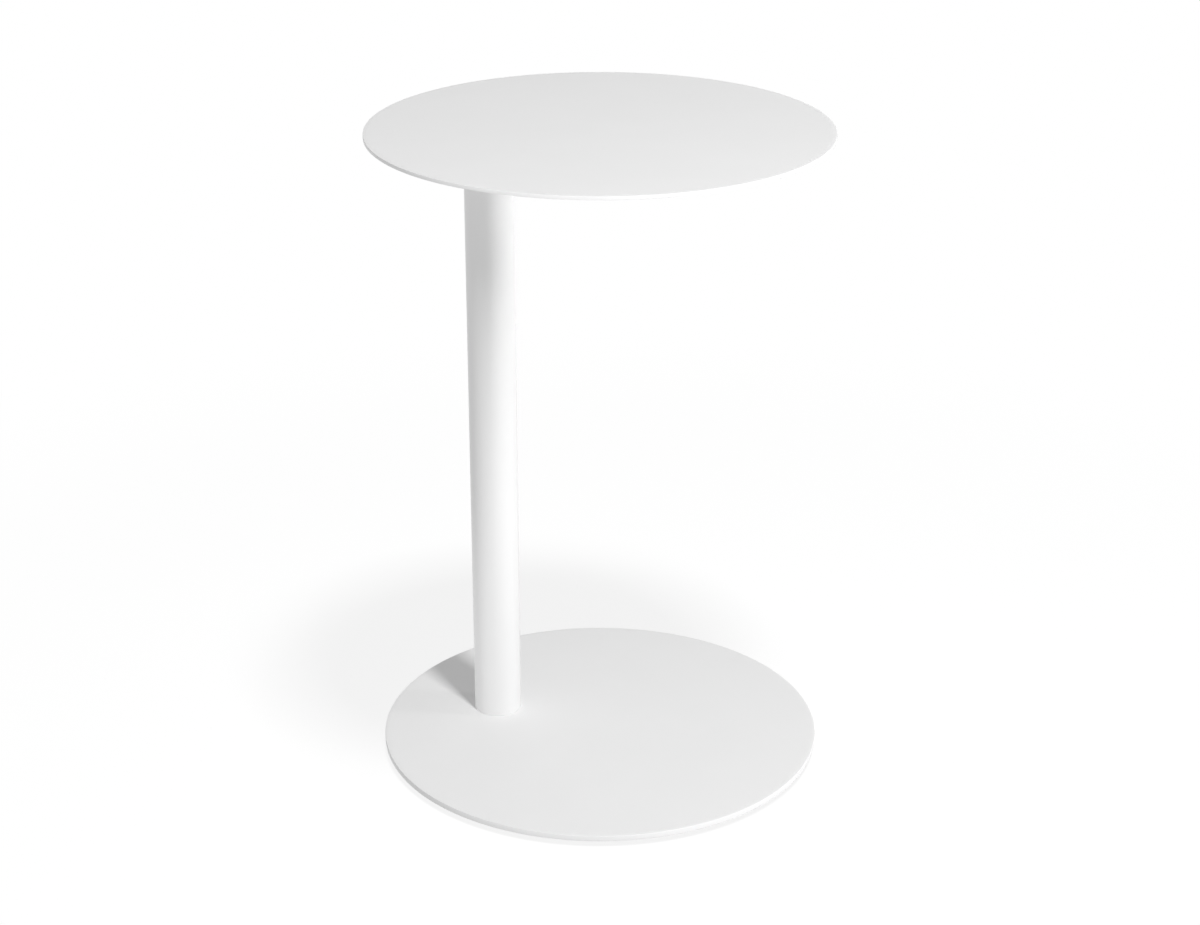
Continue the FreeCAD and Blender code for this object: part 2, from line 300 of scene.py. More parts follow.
@dataclass(frozen=True)
class BareSteel(Finish):
    """Mild steel, sawn from bar, turned and left bare inside the tube.

    It is a darker, duller metal than plating, with brown-grey patches of oil and weld heat and close turning
    rings.
    """

    constants = {"Metallic": 1.0}
    stains: ClassVar[Pattern] = Pattern(9.0 * MM, {"Detail": 4.0})

    name: str = "mild_steel_turned_bare"
    colour: str = "#8F8D89"
    patch_colour: str = "#6F675E"
    patches: Pattern = stains
    roughness: tuple[float, float] = (0.38, 0.6)
    dulling: Pattern | None = stains
    # Turning marks are near 0.1 mm apart, drawn coarser so that they show.
    relief: Pattern = Pattern(
        0.5 * MM, {"Distortion": 0.4}, Texture.RINGS, settings={"wave_type": "RINGS", "rings_direction": "Z"}
    )
    relief_height: float = 0.01 * MM


@dataclass(frozen=True)
class MouldedNylon(Finish):
    """White nylon, injection moulded in a spark-eroded tool.

    It is a milky, slightly warm white with a matte skin and a fine even texture that takes the shine off it.
    """

    constants = {"IOR": 1.53, "Subsurface Weight": 0.12, "Subsurface Scale": MM}
    # The tool's texture is near 0.05 mm, drawn coarser so that it shows.
    skin: ClassVar[Pattern] = Pattern(0.3 * MM, {"Detail": 2.0})

    name: str = "nylon_moulded_white"
    colour: str = "#ECEAE3"
    patch_colour: str = "#DEDBD2"
    patches: Pattern = Pattern(6.0 * MM, {"Detail": 4.0})
    roughness: tuple[float, float] = (0.48, 0.6)
    dulling: Pattern | None = skin
    relief: Pattern = skin
    relief_height: float = 0.006 * MM


@dataclass(frozen=True)
class FoamTape(Finish):
    """Grey acrylic foam, cast as a sheet and die-cut, with adhesive on both faces.

    Its cut edge is dull and rubbery, mottled by the closed cells.
    """

    constants = {"IOR": 1.48}
    # Cells are near 0.1 mm, drawn coarser so that they show.
    cells: ClassVar[Pattern] = Pattern(0.3 * MM, texture=Texture.CELLS, output="Distance")

    name: str = "acrylic_foam_die_cut_grey"
    colour: str = "#737577"
    patch_colour: str = "#8B8D8F"
    patches: Pattern = cells
    roughness: tuple[float, float] = (0.8, 0.8)
    dulling: Pattern | None = None
    relief: Pattern = cells
    relief_height: float = 0.03 * MM


class Slot(Enum):
    """The record's material slots."""

    COAT = "white_powder_coat"
    ZINC = "zinc_plated_steel"
    STEEL = "bare_steel"
    NYLON = "white_nylon"
    FOAM = "foam_tape"


@dataclass(frozen=True)
class Seat:
    """Where a round CAD node is.

    Attributes:
        axis: The foot of its vertical axis, at zero height.
        radius: Its reach from that axis.
        low: Its lowest level.
        high: Its highest level.
    """

    axis: Vector
    radius: float
    low: float
    high: float

    @classmethod
    def of(cls, node: str) -> "Seat":
        """Reads a node's seat from its box.

        Args:
            node: The CAD node's name.

        Returns:
            Its seat.
        """
        low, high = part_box(node)
        middle = (low + high) / 2.0
        reach = max(high.x - low.x, high.y - low.y) / 2.0
        return cls(Vector((middle.x, middle.y, 0.0)), reach, low.z, high.z)


def draw_line(mesh: BMesh, points: Profile, axis: Vector, closed: bool = False) -> list[BMEdge]:
    """Draws straight edges through points beside an axis, ready to be spun.

    Args:
        mesh: The mesh that gets them.
        points: Distance from the axis and height of each point.
        axis: The foot of the axis.
        closed: Whether the last point joins the first.

    Returns:
        The edges.
    """
    spots = [mesh.verts.new(axis + Vector((reach, 0.0, level))) for reach, level in points]
    ends = spots[1:] + spots[:1] if closed else spots[1:]
    return [mesh.edges.new(pair) for pair in zip(spots, ends)]


def turn(mesh: BMesh, points: Profile, axis: Vector, steps: int, closed: bool = False) -> None:
    """Turns a profile round a vertical axis to a surface whose poles are merged.

    Args:
        mesh: The mesh that gets it.
        points: Distance from the axis and height of each point.
        axis: The foot of the axis.
        steps: How many flats the round has.
        closed: Whether the profile is a closed outline clear of the axis.
    """
    edges = draw_line(mesh, points, axis, closed)
    spots = dict.fromkeys(spot for edge in edges for spot in edge.verts)
    bmesh.ops.spin(
        mesh, geom=[*spots, *edges], cent=axis, axis=UP, angle=FULL_TURN, steps=steps, use_merge=True
    )
    bmesh.ops.remove_doubles(mesh, verts=mesh.verts[:], dist=SAME_POINT)


def repeat_round(mesh: BMesh, axis: Vector, count: int) -> None:
    """Spaces copies of all that a mesh holds evenly round a vertical axis.

    Args:
        mesh: The mesh.
        axis: The foot of the axis.
        count: How many there are in the end, with the first.
    """
    bmesh.ops.spin(
        mesh,
        geom=[*mesh.verts, *mesh.edges, *mesh.faces],
        cent=axis,
        axis=UP,
        angle=FULL_TURN * (count - 1) / count,
        steps=count - 1,
        use_duplicate=True,
    )


def round_edge(
    mesh: BMesh, axis: Vector, radius: float, level: float, reach: float, segments: int = 4
) -> None:
    """Rounds the edges on one level circle.

    Args:
        mesh: The mesh.
        axis: The foot of the circle's axis.
        radius: The circle's radius.
        level: Its height.
        reach: How far the rounding reaches on to both faces.
        segments: How many flats it has.
    """
    def lies_on(spot: BMVert) -> bool:
        """Whether a vertex is on the circle."""
        away = (spot.co.xy - axis.xy).length
        return abs(away - radius) < ON_LEVEL and abs(spot.co.z - level) < ON_LEVEL

    bmesh.ops.bevel(
        mesh,
        geom=[edge for edge in mesh.edges if all(lies_on(spot) for spot in edge.verts)],
        offset=reach,
        offset_type="OFFSET",
        affect="EDGES",
        segments=segments,
        profile=0.5,
        material=-1,
    )


def draw_ring(mesh: BMesh, centre: Vector, radius: float, steps: int) -> list[BMEdge]:
    """Draws a level circle of edges.

    Args:
        mesh: The mesh that gets it.
        centre: Its centre.
        radius: Its radius.
        steps: How many edges it has.

    Returns:
        The edges.
    """
    made = bmesh.ops.create_circle(mesh, cap_ends=False, radius=radius, segments=steps)
    bmesh.ops.translate(mesh, verts=made["verts"], vec=centre)
    return list(dict.fromkeys(edge for spot in made["verts"] for edge in spot.link_edges))


def run_on(mesh: BMesh, ring: list[BMEdge], centre: Vector, rise: float, share: float = 1.0) -> list[BMEdge]:
    """Extrudes a level ring of edges upwards, and narrows it towards its centre.

    Args:
        mesh: The mesh.
        ring: The ring's edges.
        centre: A point on the ring's axis.
        rise: How far it goes up.
        share: What is left of the radius.

    Returns:
        The new ring's edges.
    """
    made = bmesh.ops.extrude_edge_only(mesh, edges=ring)["geom"]
    spots = [item for item in made if isinstance(item, BMVert)]
    bmesh.ops.translate(mesh, verts=spots, vec=UP * rise)
    for spot in spots:
        spot.co.xy = centre.xy + (spot.co.xy - centre.xy) * share
    fresh = set(spots)
    return [item for item in made if isinstance(item, BMEdge) and fresh.issuperset(item.verts)]


def open_edges(mesh: BMesh, level: float) -> list[BMEdge]:
    """Finds the open edges of a mesh at one level.

    Args:
        mesh: The mesh.
        level: The height.

    Returns:
        The edges with one face whose two ends both lie at that height.
    """
    found = []
    for edge in mesh.edges:
        if edge.is_boundary and all(abs(spot.co.z - level) < ON_LEVEL for spot in edge.verts):
            found.append(edge)
    return found


def cap(mesh: BMesh, edges: Iterable[BMEdge]) -> None:
    """Closes the flat region between rings of edges, holes and all."""
    bmesh.ops.triangle_fill(mesh, edges=list(edges), use_beauty=True)


@dataclass
class SubAssembly(ABC):
    """Pieces that are built together.

    Attributes:
        pieces: The pieces, each with the record's slot that it takes its finish from.
    """

    pieces: list[tuple[Object, Slot]] = field(default_factory=list, init=False)

    @abstractmethod
    def build(self) -> None:
        """Builds the pieces."""

    def add(self, mesh: BMesh, name: str, slot: Slot, node: str) -> None:
        """Makes a piece of a mesh and sets it on the body in place of its CAD node.

        Args:
            mesh: The finished mesh, which is freed.
            name: The piece's name.
            slot: The record's slot.
            node: The CAD node that it stands for.
        """
        bmesh.ops.remove_doubles(mesh, verts=mesh.verts[:], dist=SAME_POINT)
        bmesh.ops.recalc_face_normals(mesh, faces=mesh.faces[:])
        for face in mesh.faces:
            face.smooth = True
        for edge in mesh.edges:
            edge.smooth = edge.calc_face_angle(math.pi) < CREASE
        data = bpy.data.meshes.new(name)
        mesh.to_mesh(data)
        mesh.free()
        piece = bpy.data.objects.new(name, data)
        bpy.context.scene.collection.objects.link(piece)
        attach(piece, BODY)
        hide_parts(node)
        self.pieces.append((piece, slot))

    def dress(self, finishes: dict[Slot, Material]) -> None:
        """Gives each piece the one material of its record's slot.

        Args:
            finishes: The material for each slot.
        """
        for piece, slot in self.pieces:
            if not piece.material_slots:
                piece.data.materials.append(finishes[slot])
            for place in piece.material_slots:
                place.material = finishes[slot]


@dataclass
class DrilledPlate:
    """A round plate with a ring of holes, which may be countersunk from below.

    Attributes:
        seat: Where the plate is.
        rim_radius: How far its rims are rounded.
        rim_steps: How many flats its rim has.
        hole_axis: The foot of the axis that the holes stand round.
        hole_reach: From that axis to a hole's own.
        hole_count: How many holes there are.
        hole_radius: The holes' radius.
        sink_radius: The radius of the countersink at the lower face, or zero for none.
        margin: How wide the plain ring inside the rim is.
        hole_steps: How many flats a hole has.
        mouth_radius: How far the lower edges of the holes are rounded.
    """

    seat: Seat
    rim_radius: float
    rim_steps: int
    hole_axis: Vector
    hole_reach: float
    hole_count: int
    hole_radius: float
    sink_radius: float = 0.0
    margin: float = 4.0 * MM
    hole_steps: int = 48
    mouth_radius: float = 0.15 * MM

    def build(self) -> BMesh:
        """Builds the plate.

        Returns:
            Its mesh.
        """
        mesh = bmesh.new()
        low, high = self.seat.low, self.seat.high
        mouth = max(self.sink_radius, self.hole_radius)
        depth = mouth - self.hole_radius
        centre = self.hole_axis + Vector((self.hole_reach, 0.0, low))
        ring = draw_ring(mesh, centre, mouth, self.hole_steps)
        if depth > 0.0:
            ring = run_on(mesh, ring, centre, depth, self.hole_radius / mouth)
        run_on(mesh, ring, centre, high - low - depth)
        repeat_round(mesh, self.hole_axis, self.hole_count)
        inner = self.seat.radius - self.margin
        outline = [(inner, low), (self.seat.radius, low), (self.seat.radius, high), (inner, high)]
        turn(mesh, outline, self.seat.axis, self.rim_steps)
        for level in (low, high):
            cap(mesh, open_edges(mesh, level))
        for step in range(self.hole_count):
            axis = self.hole_axis + heading(FULL_TURN * step / self.hole_count) * self.hole_reach
            round_edge(mesh, axis, mouth, low, self.mouth_radius, segments=2)
        for level in (low, high):
            round_edge(mesh, self.seat.axis, self.seat.radius, level, self.rim_radius)
        return mesh


@dataclass
class Top(SubAssembly):
    """The thin round top, with the threaded studs that are welded under it.

    Attributes:
        rim_radius: How far the plate's rims are rounded under the coat.
        rim_steps: How many flats the rim has.
        margin: How wide the plain ring inside the rim is.
        stud_radius: The studs' radius.
        stud_count: How many studs there are.
        pitch: The thread's pitch.
        thread_depth: How deep the thread is cut.
        crest_share: The share of the pitch that the thread's crest takes.
        flank_share: The share of the pitch that each of its flanks takes.
        thread_steps: How many flats one turn of thread has.
        collar_radius: The collar's radius at the welded end.
        collar_height: The collar's height.
        tip_height: The length of the chamfered point.
        tip_share: What the chamfer leaves of the stud's width.
    """

    rim_radius: float = 0.35 * MM
    rim_steps: int = 256
    margin: float = 4.0 * MM
    stud_radius: float = 3.0 * MM
    stud_count: int = 3
    pitch: float = 1.0 * MM
    thread_depth: float = 0.55 * MM
    crest_share: float = 0.12
    flank_share: float = 0.38
    thread_steps: int = 32
    collar_radius: float = 3.75 * MM
    collar_height: float = 1.0 * MM
    tip_height: float = 0.6 * MM
    tip_share: float = 0.76

    def build(self) -> None:
        """Builds the plate and the studs."""
        self.build_plate()
        self.build_studs()

    def build_plate(self) -> None:
        """Builds the plate, rounded at both rims."""
        seat = Seat.of("top_plate")
        mesh = bmesh.new()
        inner = seat.radius - self.margin
        half = [(0.0, seat.low), (inner, seat.low), (seat.radius, seat.low)]
        turn(mesh, half + [(reach, seat.high) for reach, _ in reversed(half)], seat.axis, self.rim_steps)
        for level in (seat.low, seat.high):
            round_edge(mesh, seat.axis, seat.radius, level, self.rim_radius)
        self.add(mesh, "top_plate_coated", Slot.COAT, "top_plate")

    def build_studs(self) -> None:
        """Builds the studs: a collar, a thread and a chamfered point."""
        seat = Seat.of("top_weld_studs")
        post = Seat.of("post_tube").axis
        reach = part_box("top_weld_studs")[1].x - self.collar_radius - post.x
        axis = post + Vector((reach, 0.0, 0.0))
        tip = seat.low + self.tip_height
        shoulder = seat.high - self.collar_height
        mesh = bmesh.new()
        self.wind_thread(mesh, axis, tip, shoulder)
        cap(mesh, run_on(mesh, open_edges(mesh, tip), axis, -self.tip_height, self.tip_share))
        collar = draw_ring(mesh, axis + UP * shoulder, self.collar_radius, self.thread_steps)
        cap(mesh, [*open_edges(mesh, shoulder), *collar])
        cap(mesh, run_on(mesh, collar, axis, self.collar_height))
        repeat_round(mesh, post, self.stud_count)
        self.add(mesh, "top_studs_zinc", Slot.ZINC, "top_weld_studs")

    def wind_thread(self, mesh: BMesh, axis: Vector, low: float, high: float) -> None:
        """Winds one thread between two levels, open at both ends.

        Args:
            mesh: The mesh that gets it, still empty.
            axis: The foot of the stud's axis.
            low: The lower level.
            high: The upper level.
        """
        root = self.stud_radius - self.thread_depth
        crest, flank = self.crest_share * self.pitch, self.flank_share * self.pitch
        start = low - self.pitch
        ridge = [
            (root, start),
            (self.stud_radius, start + flank),
            (self.stud_radius, start + flank + crest),
            (root, start + 2.0 * flank + crest),
            (root, start + self.pitch),
        ]
        edges = draw_line(mesh, ridge, axis)
        turns = math.ceil((high - low) / self.pitch) + 1
        bmesh.ops.spin(
            mesh,
            geom=[*mesh.verts, *edges],
            cent=axis,
            axis=UP,
            dvec=UP * (self.pitch / self.thread_steps),
            angle=FULL_TURN * turns,
            steps=self.thread_steps * turns,
        )
        bmesh.ops.remove_doubles(mesh, verts=mesh.verts[:], dist=SAME_POINT)
        for level, away in ((low, -UP), (high, UP)):
            bmesh.ops.bisect_plane(
                mesh,
                geom=[*mesh.verts, *mesh.edges, *mesh.faces],
                plane_co=UP * level,
                plane_no=away,
                clear_outer=True,
            )


@dataclass
class Post(SubAssembly):
    """The tube with its welded flange, the nuts on the flange, and the plug inside its foot.

    Attributes:
        wall: The tube's wall.
        tube_steps: How many flats the tube has.
        end_radius: How far the tube's foot is rounded.
        flange_rim_radius: How far the flange's rims are rounded.
        flange_steps: How many flats the flange's rim has.
        stud_reach: From the tube's axis to a stud's.
        stud_hole_radius: The radius of the flange's holes.
        stud_count: How many studs and nuts there are.
        bead_leg: How far the weld bead reaches on to tube and flange.
        bead_crown: How far the bead bulges.
        bead_ripples: How many ripples the bead has.
        ripple_height: How high a ripple is.
        ripple_lag: How far a ripple's ends lag behind its middle, in ripples.
        bead_steps: How many flats the bead has along its length.
        bead_face_steps: How many flats it has across its face.
        nut_width: The nut's width across its flats.
        nut_bore: The radius of the nut's bore.
        skirt: How far the nut's skirt reaches past its corners.
        skirt_edge: The height of the skirt's edge.
        skirt_rise: How far the skirt's slope rises from there.
        skirt_ledge: How wide the ledge is between the nut's corners and the slope.
        nut_chamfer: How far the nut's end chamfer cuts in from its corners.
        nut_chamfer_angle: How far that chamfer leans from the nut's end, in degrees.
        bore_chamfer: How far the bore's chamfer cuts in.
        nut_steps: How many flats the nut's round surfaces have.
    """

    wall: float = 2.1 * MM
    tube_steps: int = 128
    end_radius: float = 0.3 * MM
    flange_rim_radius: float = 0.7 * MM
    flange_steps: int = 160
    stud_reach: float = 48.15 * MM
    stud_hole_radius: float = 4.15 * MM
    stud_count: int = 3
    bead_leg: float = 4.0 * MM
    bead_crown: float = 0.5 * MM
    bead_ripples: int = 46
    ripple_height: float = 0.55 * MM
    ripple_lag: float = 0.55
    bead_steps: int = 368
    bead_face_steps: int = 6
    nut_width: float = 10.0 * MM
    nut_bore: float = 3.05 * MM
    skirt: float = 1.3 * MM
    skirt_edge: float = 1.1 * MM
    skirt_rise: float = 0.6 * MM
    skirt_ledge: float = 0.15 * MM
    nut_chamfer: float = 0.75 * MM
    nut_chamfer_angle: float = 30.0
    bore_chamfer: float = 0.375 * MM
    nut_steps: int = 48

    def build(self) -> None:
        """Builds the tube, flange, bead and nuts. The hidden plug and its beads stay as CAD nodes."""
        self.build_tube()
        self.build_flange()
        self.build_bead()
        self.build_nuts()
        self.pieces += [(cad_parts[node], Slot.STEEL) for node in ("base_plug", "plug_welds")]

    def build_tube(self) -> None:
        """Builds the tube, with its foot rounded."""
        seat = Seat.of("post_tube")
        bore = seat.radius - self.wall
        wall = [(seat.radius, seat.low), (seat.radius, seat.high), (bore, seat.high), (bore, seat.low)]
        mesh = bmesh.new()
        turn(mesh, wall, seat.axis, self.tube_steps, closed=True)
        round_edge(mesh, seat.axis, seat.radius, seat.low, self.end_radius, segments=3)
        self.add(mesh, POST_PIECE, Slot.COAT, "post_tube")

    def build_flange(self) -> None:
        """Builds the flange with its holes for the studs."""
        seat = Seat.of("mounting_flange")
        plate = DrilledPlate(
            seat=seat,
            rim_radius=self.flange_rim_radius,
            rim_steps=self.flange_steps,
            hole_axis=seat.axis,
            hole_reach=self.stud_reach,
            hole_count=self.stud_count,
            hole_radius=self.stud_hole_radius,
        )
        self.add(plate.build(), "flange_coated", Slot.COAT, "mounting_flange")

    def build_bead(self) -> None:
        """Builds the weld bead: a crowned fillet, rippled where each puddle of weld froze over the last."""
        seat = Seat.of("flange_weld")
        inner = seat.radius - self.bead_leg
        slope = Vector((1.0, -1.0)).normalized()
        outline = [(inner, seat.high)]
        for step in range(self.bead_face_steps + 1):
            share = step / self.bead_face_steps
            spot = Vector((inner + self.bead_leg * (1.0 - share), seat.high - self.bead_leg * share))
            spot += slope * self.bead_crown * math.sin(math.pi * share)
            outline.append((spot.x, spot.y))
        mesh = bmesh.new()
        turn(mesh, outline, seat.axis, self.bead_steps, closed=True)
        for spot in mesh.verts:
            out = spot.co.xy - seat.axis.xy
            depth = (out.length - inner) + (seat.high - spot.co.z) - self.bead_leg
            if depth < -ON_LEVEL:
                continue
            across = (seat.high - spot.co.z) / self.bead_leg
            # Each ripple is an arc that dies out and lags towards the bead's two toes.
            swell = math.sin(math.pi * min(max(across, 0.0), 1.0))
            phase = math.atan2(out.y, out.x) * self.bead_ripples / FULL_TURN + self.ripple_lag * swell
            # Half of its height stands over the face and half under it.
            lift = slope * self.ripple_height * swell * (abs(math.sin(math.pi * phase)) - 0.5)
            spot.co.xy = seat.axis.xy + out.normalized() * (out.length + lift.x)
            spot.co.z += lift.y
        self.add(mesh, "flange_bead_coated", Slot.COAT, "flange_weld")

    def build_nuts(self) -> None:
        """Builds the nuts: a skirt, and a chamfered blank whose six flats are cut off."""
        seat = Seat.of("flange_nuts")
        post = Seat.of("post_tube").axis
        axis = post + Vector((self.stud_reach, 0.0, 0.0))
        corner = self.nut_width * HEXAGON_REACH
        skirt_low = seat.high - self.skirt_edge - self.skirt_rise
        slope = self.nut_chamfer * math.tan(math.radians(self.nut_chamfer_angle))
        mesh = bmesh.new()
        blank = [
            (corner, skirt_low),
            (corner, seat.low + slope),
            (corner - self.nut_chamfer, seat.low),
            (self.nut_bore + self.bore_chamfer, seat.low),
            (self.nut_bore, seat.low + self.bore_chamfer),
            (self.nut_bore, seat.high),
        ]
        turn(mesh, blank, axis, self.nut_steps)
        for side in range(HEXAGON_SIDES):
            self.cut_flat(mesh, axis, FULL_TURN * (side + 0.5) / HEXAGON_SIDES)
        skirt_radius = corner + self.skirt
        skirt = [
            (self.nut_bore, seat.high),
            (skirt_radius, seat.high),
            (skirt_radius, seat.high - self.skirt_edge),
            (corner + self.skirt_ledge, skirt_low),
        ]
        turn(mesh, skirt, axis, self.nut_steps)
        cap(mesh, open_edges(mesh, skirt_low))
        repeat_round(mesh, post, self.stud_count)
        self.add(mesh, "flange_nuts_zinc", Slot.ZINC, "flange_nuts")

    def cut_flat(self, mesh: BMesh, axis: Vector, angle: float) -> None:
        """Cuts one flat off a nut's blank and closes the cut.

        Args:
            mesh: The blank's mesh, open at its upper end.
            axis: The foot of the nut's axis.
            angle: Which way the flat faces.
        """
        away = heading(angle)
        made = bmesh.ops.bisect_plane(
            mesh,
            geom=[*mesh.verts, *mesh.edges, *mesh.faces],
            plane_co=axis + away * self.nut_width / 2.0,
            plane_no=away,
            clear_outer=True,
        )
        cut = [item for item in made["geom_cut"] if isinstance(item, BMEdge)]
        spots = [spot for edge in cut for spot in edge.verts]
        ends = [spot for spot in spots if spots.count(spot) == 1]
        bmesh.ops.holes_fill(mesh, edges=[*cut, mesh.edges.new(ends)])


@dataclass
class Base(SubAssembly):
    """The heavier round base, with the countersunk screws that hold the post to it.

    Attributes:
        rim_radius: How far the plate's rims are rounded under the coat.
        rim_steps: How many flats the rim has.
        screw_reach: From the post's axis to a screw's.
        screw_count: How many screws there are.
        hole_radius: The radius of the holes through the base.
        sink_radius: The radius of the countersinks at the lower face.
        head_radius: The radius of a screw's head.
        head_edge: The height of the head's straight edge.
        screw_radius: The radius of a screw's thread.
        socket_width: The socket's width across its flats.
        socket_depth: The socket's depth.
        point_share: The height of the socket's drill point, as a share of its width.
        screw_steps: How many flats a screw has.
    """

    rim_radius: float = 0.45 * MM
    rim_steps: int = 256
    screw_reach: float = 10.531 * MM
    screw_count: int = 3
    hole_radius: float = 3.3 * MM
    sink_radius: float = 6.62 * MM
    head_radius: float = 6.0 * MM
    head_edge: float = 0.4 * MM
    screw_radius: float = 3.0 * MM
    socket_width: float = 4.0 * MM
    socket_depth: float = 2.2 * MM
    point_share: float = 1.0 / 6.0
    screw_steps: int = 48

    def build(self) -> None:
        """Builds the plate and the screws."""
        self.build_plate()
        self.build_screws()

    def build_plate(self) -> None:
        """Builds the plate with its countersunk holes."""
        plate = DrilledPlate(
            seat=Seat.of("base_plate"),
            rim_radius=self.rim_radius,
            rim_steps=self.rim_steps,
            hole_axis=Seat.of("post_tube").axis,
            hole_reach=self.screw_reach,
            hole_count=self.screw_count,
            hole_radius=self.hole_radius,
            sink_radius=self.sink_radius,
        )
        self.add(plate.build(), "base_plate_coated", Slot.COAT, "base_plate")

    def build_screws(self) -> None:
        """Builds the screws, heads down, each with a hexagon socket that ends in a drill point."""
        seat = Seat.of("base_screws")
        post = Seat.of("post_tube").axis
        centre = post + Vector((self.screw_reach, 0.0, seat.low))
        mesh = bmesh.new()
        rim = draw_ring(mesh, centre, self.head_radius, self.screw_steps)
        mouth = draw_ring(mesh, centre, self.socket_width * HEXAGON_REACH, HEXAGON_SIDES)
        cap(mesh, [*rim, *mouth])
        floor = run_on(mesh, mouth, centre, self.socket_depth)
        run_on(mesh, floor, centre, self.socket_width * self.point_share, share=0.0)
        land = run_on(mesh, rim, centre, self.head_edge)
        drop = self.head_radius - self.screw_radius
        neck = run_on(mesh, land, centre, drop, self.screw_radius / self.head_radius)
        cap(mesh, run_on(mesh, neck, centre, seat.high - seat.low - self.head_edge - drop))
        round_edge(mesh, centre, self.head_radius, seat.low, self.head_edge / 2.0, segments=2)
        repeat_round(mesh, post, self.screw_count)
        self.add(mesh, "base_screws_zinc", Slot.ZINC, "base_screws")


@dataclass
class Glides(SubAssembly):
    """The moulded pads under the base, with the foam discs that hold them to it.

    Attributes:
        count: How many pads there are.
        reach: From the table's axis to a pad's.
        pad_radius: A pad's radius.
        foot_radius: How far a pad's lower rim is rounded.
        shoulder_radius: How far its upper rim is rounded.
        dimple_radius: The radius of the gate's dimple in its foot.
        dimple_depth: The dimple's depth.
        tape_margin: How far a foam disc stays inside its pad.
        tape_bulge: How far a foam disc's edge bulges under load.
        steps: How many flats a pad has.
    """

    count: int = 6
    reach: float = 166.0 * MM
    pad_radius: float = 11.0 * MM
    foot_radius: float = 1.2 * MM
    shoulder_radius: float = 0.3 * MM
    dimple_radius: float = 2.4 * MM
    dimple_depth: float = 0.35 * MM
    tape_margin: float = 1.0 * MM
    tape_bulge: float = 0.15 * MM
    steps: int = 64

    def first_axis(self) -> Vector:
        """The first pad's axis, half a step round from the table's X axis."""
        return heading(math.pi / self.count) * self.reach

    def build(self) -> None:
        """Builds the pads and the foam discs."""
        self.build_pads()
        self.build_tapes()

    def build_pads(self) -> None:
        """Builds the pads, each with the gate's dimple in its foot."""
        seat = Seat.of("glide_pads")
        axis = self.first_axis()
        dimple = self.dimple_radius - self.dimple_depth
        outline = [
            (0.0, seat.low + self.dimple_depth),
            (dimple, seat.low + self.dimple_depth),
            (self.dimple_radius, seat.low),
            (self.pad_radius, seat.low),
            (self.pad_radius, seat.high),
            (0.0, seat.high),
        ]
        mesh = bmesh.new()
        turn(mesh, outline, axis, self.steps)
        round_edge(mesh, axis, self.pad_radius, seat.low, self.foot_radius, segments=5)
        round_edge(mesh, axis, self.pad_radius, seat.high, self.shoulder_radius, segments=2)
        repeat_round(mesh, Vector(), self.count)
        self.add(mesh, "glide_pads_moulded", Slot.NYLON, "glide_pads")

    def build_tapes(self) -> None:
        """Builds the foam discs, with edges that bulge."""
        seat = Seat.of("glide_tapes")
        axis = self.first_axis()
        edge = self.pad_radius - self.tape_margin
        middle = (seat.low + seat.high) / 2.0
        outline = [
            (0.0, seat.low),
            (edge - self.tape_bulge, seat.low),
            (edge, middle),
            (edge - self.tape_bulge, seat.high),
            (0.0, seat.high),
        ]
        mesh = bmesh.new()
        turn(mesh, outline, axis, self.steps)
        repeat_round(mesh, Vector(), self.count)
        self.add(mesh, "glide_tapes_foam", Slot.FOAM, "glide_tapes")


@dataclass
class PhotoCamera:
    """The camera at the photograph's viewing angle.

    Attributes:
        azimuth: How far round from looking along +Y it stands, in degrees.
        distance: How far from the table's axis it stands, level with the floor.
        height: How high it stands.
        pitch: How far down it looks, in degrees.
        focal_pixels: Its focal length in pixels of the photograph.
        image_width: The photograph's width in pixels.
        sensor: The sensor's width in millimetres.
    """

    azimuth: float = 20.69
    distance: float = 1925.7 * MM
    height: float = 1067.7 * MM
    pitch: float = 22.72
    focal_pixels: float = 2460.0
    image_width: float = 1200.0
    sensor: float = 36.0

    def back(self) -> Vector:
        """From the table towards the camera, level."""
        return heading(FRONT + math.radians(self.azimuth))

    def build(self) -> None:
        """Makes the camera and sets it as the scene's own."""
        data = bpy.data.cameras.new("photo_camera")
        data.sensor_width = self.sensor
        data.lens = self.sensor * self.focal_pixels / self.image_width
        camera = bpy.data.objects.new("photo_camera", data)
        camera.location = self.back() * self.distance + UP * self.height
        down = math.radians(self.pitch)
        ahead = -self.back() * math.cos(down) - UP * math.sin(down)
        camera.rotation_euler = ahead.to_track_quat("-Z", "Y").to_euler()
        bpy.context.scene.collection.objects.link(camera)
        bpy.context.scene.camera = camera


class Target(Enum):
    """What a lamp lights: the table, its post alone, or the floor that it stands on."""

    TABLE = "table"
    POST = "post"
    FLOOR = "floor"


